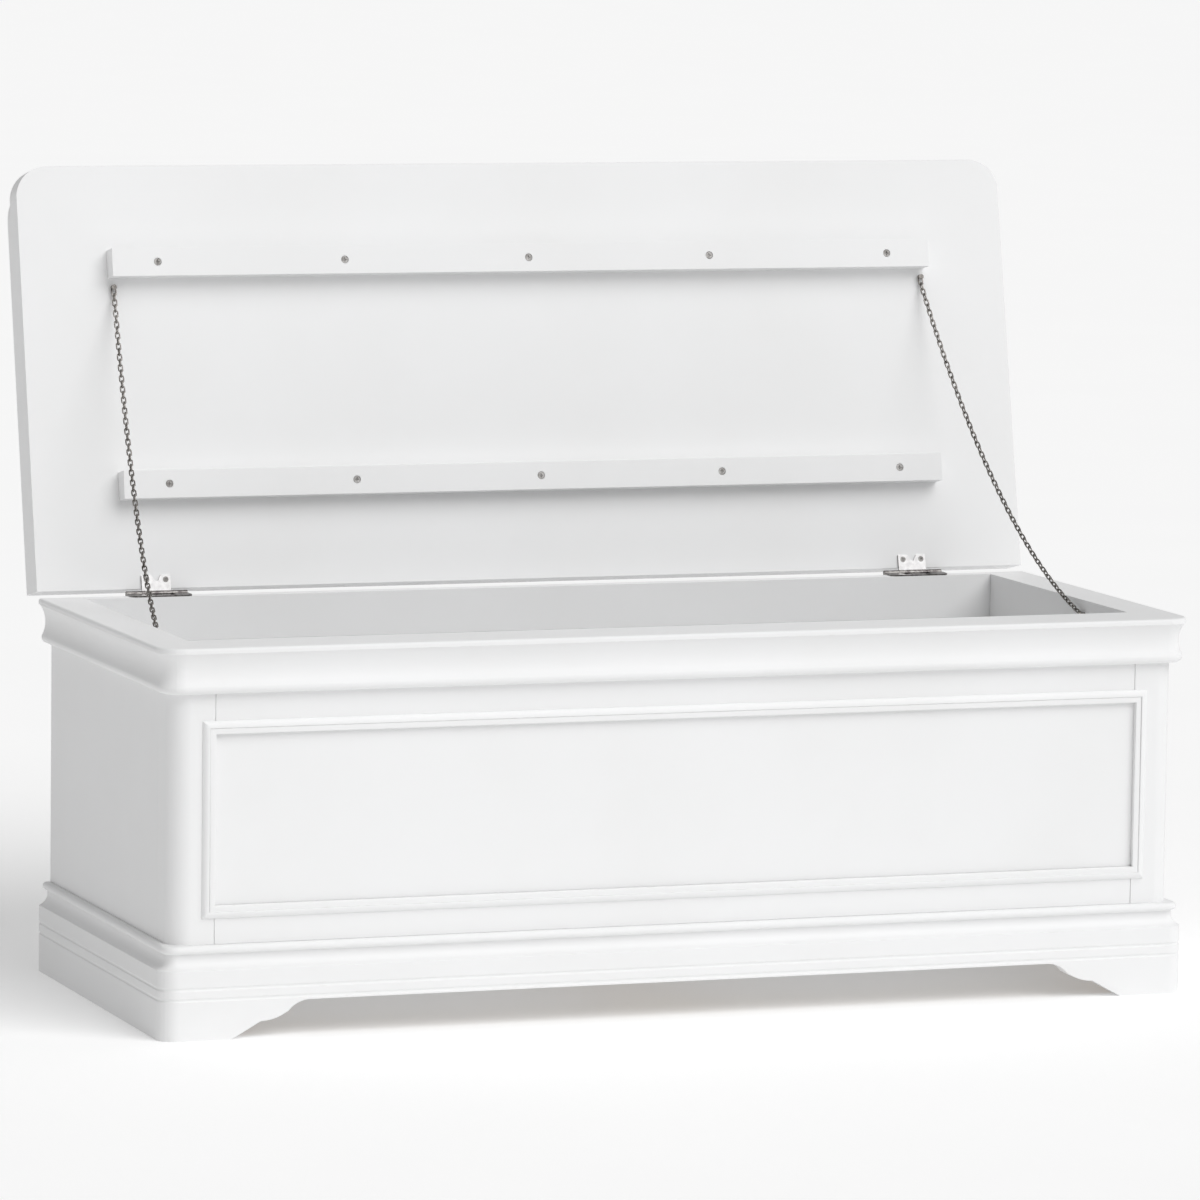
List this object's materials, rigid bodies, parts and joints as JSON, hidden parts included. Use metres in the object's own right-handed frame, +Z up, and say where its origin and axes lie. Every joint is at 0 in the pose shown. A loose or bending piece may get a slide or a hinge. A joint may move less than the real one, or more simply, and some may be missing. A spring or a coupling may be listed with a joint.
{
  "type": "wooden toy box",
  "caption": "White painted wooden toy box with a moulded top frame, panelled front, bracket-foot plinth and a lid on flush hinges held open by two link chains.",
  "frame": {"origin": "centre of the footprint of the whole open object, on the floor", "axes": "+X is the user's right along the width, -Y is the front, +Z is up"},
  "size_m": [1.12, 0.5898, 0.8408],
  "materials": {
    "white_paint": "satin white paint",
    "raw_wood": "unpainted sawn softwood",
    "hinge_zinc": "bright zinc plate",
    "chain_steel": "nickel-plated steel",
    "screw_steel": "zinc-plated steel"
  },
  "bodies": {
    "box": {"post_front_left": "white_paint", "post_front_right": "white_paint", "front_top_rail": "white_paint", "front_bottom_rail": "white_paint", "front_panel": "white_paint", "moulding_top": "white_paint", "moulding_bottom": "white_paint", "moulding_left": "white_paint", "moulding_right": "white_paint", "side_panel_left": "white_paint", "side_panel_right": "white_paint", "back_panel": "white_paint", "back_rail": "white_paint", "rear_block_left": "white_paint", "rear_block_right": "white_paint", "cornice_front": "white_paint", "cornice_left": "white_paint", "cornice_right": "white_paint", "plinth_front": "white_paint", "plinth_left": "white_paint", "plinth_right": "white_paint", "plinth_back": "white_paint", "plinth_block_front_left": "raw_wood", "plinth_block_front_right": "raw_wood", "plinth_block_back_left": "raw_wood", "plinth_block_back_right": "raw_wood", "bottom_panel": "white_paint", "bearer_front": "raw_wood", "bearer_back": "raw_wood", "bearer_left": "raw_wood", "bearer_right": "raw_wood", "bearer_middle": "raw_wood", "hinge_box_leaf_left": "hinge_zinc", "hinge_box_leaf_right": "hinge_zinc", "hinge_pin_left": "hinge_zinc", "hinge_pin_right": "hinge_zinc", "hinge_box_screws": "screw_steel", "chain_box_screws": "screw_steel"},
    "lid": {"lid_panel": "white_paint", "lid_batten_upper": "white_paint", "lid_batten_lower": "white_paint", "lid_batten_screws": "screw_steel", "hinge_lid_leaf_left": "hinge_zinc", "hinge_lid_leaf_right": "hinge_zinc", "hinge_lid_screws": "screw_steel", "chain_end_link_left": "chain_steel", "chain_end_link_right": "chain_steel", "chain_lid_screws": "screw_steel"},
    "chain_upper_left": {"chain_upper_left": "chain_steel"},
    "chain_upper_right": {"chain_upper_right": "chain_steel"},
    "chain_lower_left": {"chain_lower_left": "chain_steel"},
    "chain_lower_right": {"chain_lower_right": "chain_steel"}
  },
  "joints": [
    {"name": "lid_hinge", "type": "hinge", "parent": "box", "child": "lid", "pos_m": [0, 0.16015, 0.396], "axis": [1, 0, 0], "range_deg": [0, 102]},
    {"name": "chain_eye_left", "type": "hinge", "parent": "lid", "child": "chain_upper_left", "pos_m": [-0.46, 0.22314, 0.70602], "axis": [1, 0, 0], "range_deg": [-62, 0]},
    {"name": "chain_eye_right", "type": "hinge", "parent": "lid", "child": "chain_upper_right", "pos_m": [0.46, 0.22314, 0.70602], "axis": [1, 0, 0], "range_deg": [-62, 0]},
    {"name": "chain_foot_left", "type": "hinge", "parent": "box", "child": "chain_lower_left", "pos_m": [-0.5092, -0.11785, 0.38], "axis": [1, 0, 0], "range_deg": [-129, 0]},
    {"name": "chain_foot_right", "type": "hinge", "parent": "box", "child": "chain_lower_right", "pos_m": [0.5092, -0.11785, 0.38], "axis": [1, 0, 0], "range_deg": [-129, 0]}
  ],
  "couplings": [
    {"joint": "chain_eye_left", "follows": "lid_hinge", "ratio": -0.601},
    {"joint": "chain_eye_right", "follows": "lid_hinge", "ratio": -0.601},
    {"joint": "chain_foot_left", "follows": "lid_hinge", "ratio": -1.257},
    {"joint": "chain_foot_right", "follows": "lid_hinge", "ratio": -1.257}
  ]
}
